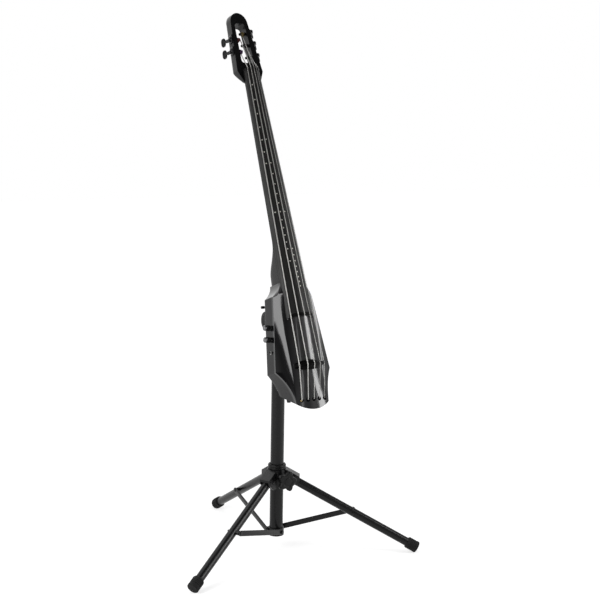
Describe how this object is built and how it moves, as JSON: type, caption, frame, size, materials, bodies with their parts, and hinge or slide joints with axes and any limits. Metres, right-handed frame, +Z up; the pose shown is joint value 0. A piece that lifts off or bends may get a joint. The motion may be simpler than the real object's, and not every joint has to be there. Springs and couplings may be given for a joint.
{
  "type": "electric double bass on tripod stand",
  "caption": "Slim solid-body electric upright bass with a slotted head, fretless arched fingerboard and bridge, carried on a folding tripod stand with a tilting bracket.",
  "frame": {"origin": "centre of the bounding box at floor level, under the stand", "axes": "+Z up; the strings face -Y; +X is to the right of someone who looks at the strings"},
  "size_m": [0.89, 0.776, 1.8662],
  "materials": {
    "lacquer": "gloss",
    "neck_satin": "satin",
    "board_wood": "matte",
    "black_resin": "matte",
    "cover_resin": "satin",
    "powder_coat": "satin",
    "rubber_black": "matte",
    "string_steel": "satin",
    "bare_steel": "satin",
    "bright_steel": "polished",
    "black_metal": "satin"
  },
  "bodies": {
    "stand_post": {"post": "powder_coat", "bottom_collar": "powder_coat", "tilt_head": "powder_coat", "tilt_bolt": "bare_steel"},
    "hub": {"hub": "powder_coat", "hub_bush": "black_resin", "leg_pin_1": "bare_steel", "leg_pin_2": "bare_steel", "leg_pin_3": "bare_steel"},
    "star_knob": {"star_knob": "black_resin"},
    "bass": {"body": "lacquer", "control_cover": "cover_resin", "neck": "neck_satin", "truss_rod": "bare_steel", "fingerboard": "board_wood", "nut": "black_resin", "bridge": "black_resin", "pickup_strip": "black_resin", "string_1": "string_steel", "string_2": "string_steel", "string_3": "string_steel", "string_4": "string_steel", "string_5": "string_steel", "tuner_housing_1": "black_metal", "tuner_housing_2": "black_metal", "tuner_housing_3": "black_metal", "tuner_housing_4": "black_metal", "tuner_housing_5": "black_metal", "volume_pot": "bare_steel", "tone_pot": "bare_steel", "mode_switch": "bare_steel", "output_jack": "black_metal", "back_bracket": "powder_coat", "bracket_pin": "black_metal"},
    "tilt_knob": {"tilt_knob": "black_resin"},
    "volume_knob": {"volume_knob": "black_resin"},
    "tone_knob": {"tone_knob": "black_resin"},
    "switch_lever": {"switch_lever": "bright_steel"},
    "leg_1": {"leg_1": "powder_coat", "foot_1": "rubber_black"},
    "brace_1": {"brace_1": "powder_coat"},
    "leg_2": {"leg_2": "powder_coat", "foot_2": "rubber_black"},
    "brace_2": {"brace_2": "powder_coat"},
    "leg_3": {"leg_3": "powder_coat", "foot_3": "rubber_black"},
    "brace_3": {"brace_3": "powder_coat"},
    "tuner_key_1": {"tuner_key_1": "black_metal"},
    "tuner_post_1": {"tuner_post_1": "bare_steel"},
    "tuner_key_2": {"tuner_key_2": "black_metal"},
    "tuner_post_2": {"tuner_post_2": "bare_steel"},
    "tuner_key_3": {"tuner_key_3": "black_metal"},
    "tuner_post_3": {"tuner_post_3": "bare_steel"},
    "tuner_key_4": {"tuner_key_4": "black_metal"},
    "tuner_post_4": {"tuner_post_4": "bare_steel"},
    "tuner_key_5": {"tuner_key_5": "black_metal"},
    "tuner_post_5": {"tuner_post_5": "bare_steel"}
  },
  "joints": [
    {"name": "hub_slide", "type": "slide", "parent": "stand_post", "child": "hub", "axis": [0, 0, 1], "range_m": [0, 0.3234]},
    {"name": "leg_hinge_1", "type": "hinge", "parent": "hub", "child": "leg_1", "pos_m": [-0.0433, -0.14963, 0.25993], "axis": [0.5, -0.866, 0], "range_deg": [-1, 61]},
    {"name": "leg_hinge_2", "type": "hinge", "parent": "hub", "child": "leg_2", "pos_m": [0.0433, -0.14963, 0.25993], "axis": [0.5, 0.866, 0], "range_deg": [-1, 61]},
    {"name": "leg_hinge_3", "type": "hinge", "parent": "hub", "child": "leg_3", "pos_m": [0, -0.07462, 0.25993], "axis": [-1, 0, 0], "range_deg": [-1, 61]},
    {"name": "brace_hinge_1", "type": "hinge", "parent": "stand_post", "child": "brace_1", "pos_m": [-0.01039, -0.13062, 0.06993], "axis": [-0.5, 0.866, 0], "range_deg": [-1, 66.05]},
    {"name": "brace_hinge_2", "type": "hinge", "parent": "stand_post", "child": "brace_2", "pos_m": [0.01039, -0.13062, 0.06993], "axis": [-0.5, -0.866, 0], "range_deg": [-1, 66.05]},
    {"name": "brace_hinge_3", "type": "hinge", "parent": "stand_post", "child": "brace_3", "pos_m": [0, -0.11263, 0.06993], "axis": [1, 0, 0], "range_deg": [-1, 66.05]},
    {"name": "star_knob_turn", "type": "hinge", "parent": "hub", "child": "star_knob", "pos_m": [0, -0.12462, 0.26793], "axis": [0, -1, 0], "range_deg": [0, 360]},
    {"name": "bass_tilt", "type": "hinge", "parent": "stand_post", "child": "bass", "pos_m": [0, -0.12462, 0.82093], "axis": [-1, 0, 0], "range_deg": [-19, 10]},
    {"name": "tilt_knob_turn", "type": "hinge", "parent": "stand_post", "child": "tilt_knob", "pos_m": [0, -0.12462, 0.82093], "axis": [-1, 0, 0], "range_deg": [0, 360]},
    {"name": "tuner_key_turn_1", "type": "hinge", "parent": "bass", "child": "tuner_key_1", "pos_m": [-0.05513, 0.17385, 1.72714], "axis": [-0.4981, 0.7963, -0.343], "continuous": true},
    {"name": "tuner_post_turn_1", "type": "hinge", "parent": "bass", "child": "tuner_post_1", "pos_m": [-0.04198, 0.17689, 1.73333], "axis": [-0.9963, 0.0379, 0.0773], "continuous": true},
    {"name": "tuner_key_turn_2", "type": "hinge", "parent": "bass", "child": "tuner_key_2", "pos_m": [-0.05115, 0.19413, 1.76844], "axis": [-0.4981, 0.7963, -0.343], "continuous": true},
    {"name": "tuner_post_turn_2", "type": "hinge", "parent": "bass", "child": "tuner_post_2", "pos_m": [-0.03801, 0.19716, 1.77463], "axis": [-0.9963, 0.0379, 0.0773], "continuous": true},
    {"name": "tuner_key_turn_3", "type": "hinge", "parent": "bass", "child": "tuner_key_3", "pos_m": [0.0477, 0.21173, 1.80429], "axis": [0.4981, 0.7963, -0.343], "continuous": true},
    {"name": "tuner_post_turn_3", "type": "hinge", "parent": "bass", "child": "tuner_post_3", "pos_m": [0.03594, 0.20774, 1.79617], "axis": [0.9963, 0.0379, 0.0773], "continuous": true},
    {"name": "tuner_key_turn_4", "type": "hinge", "parent": "bass", "child": "tuner_key_4", "pos_m": [0.05159, 0.1919, 1.7639], "axis": [0.4981, 0.7963, -0.343], "continuous": true},
    {"name": "tuner_post_turn_4", "type": "hinge", "parent": "bass", "child": "tuner_post_4", "pos_m": [0.03982, 0.18791, 1.75578], "axis": [0.9963, 0.0379, 0.0773], "continuous": true},
    {"name": "tuner_key_turn_5", "type": "hinge", "parent": "bass", "child": "tuner_key_5", "pos_m": [0.05565, 0.17118, 1.72171], "axis": [0.4981, 0.7963, -0.343], "continuous": true},
    {"name": "tuner_post_turn_5", "type": "hinge", "parent": "bass", "child": "tuner_post_5", "pos_m": [0.04389, 0.1672, 1.71359], "axis": [0.9963, 0.0379, 0.0773], "continuous": true},
    {"name": "volume_knob_turn", "type": "hinge", "parent": "bass", "child": "volume_knob", "pos_m": [-0.08606, -0.22618, 0.81564], "axis": [-0.9935, 0.0375, 0.1071], "range_deg": [-150, 150]},
    {"name": "tone_knob_turn", "type": "hinge", "parent": "bass", "child": "tone_knob", "pos_m": [-0.0906, -0.23932, 0.77813], "axis": [-0.9935, 0.0375, 0.1071], "range_deg": [-150, 150]},
    {"name": "mode_switch_flip", "type": "hinge", "parent": "bass", "child": "switch_lever", "pos_m": [-0.0938, -0.25383, 0.73668], "axis": [0, 0.9438, -0.3305], "range_deg": [-24, 0]}
  ],
  "couplings": [
    {"joint": "leg_hinge_1", "follows": "hub_slide", "rad_per_m": 3.2381},
    {"joint": "leg_hinge_2", "follows": "hub_slide", "rad_per_m": 3.2381},
    {"joint": "leg_hinge_3", "follows": "hub_slide", "rad_per_m": 3.2381},
    {"joint": "brace_hinge_1", "follows": "hub_slide", "rad_per_m": 3.5104},
    {"joint": "brace_hinge_2", "follows": "hub_slide", "rad_per_m": 3.5104},
    {"joint": "brace_hinge_3", "follows": "hub_slide", "rad_per_m": 3.5104},
    {"joint": "tuner_post_turn_1", "follows": "tuner_key_turn_1", "ratio": 0.05},
    {"joint": "tuner_post_turn_2", "follows": "tuner_key_turn_2", "ratio": 0.05},
    {"joint": "tuner_post_turn_3", "follows": "tuner_key_turn_3", "ratio": 0.05},
    {"joint": "tuner_post_turn_4", "follows": "tuner_key_turn_4", "ratio": 0.05},
    {"joint": "tuner_post_turn_5", "follows": "tuner_key_turn_5", "ratio": 0.05}
  ]
}
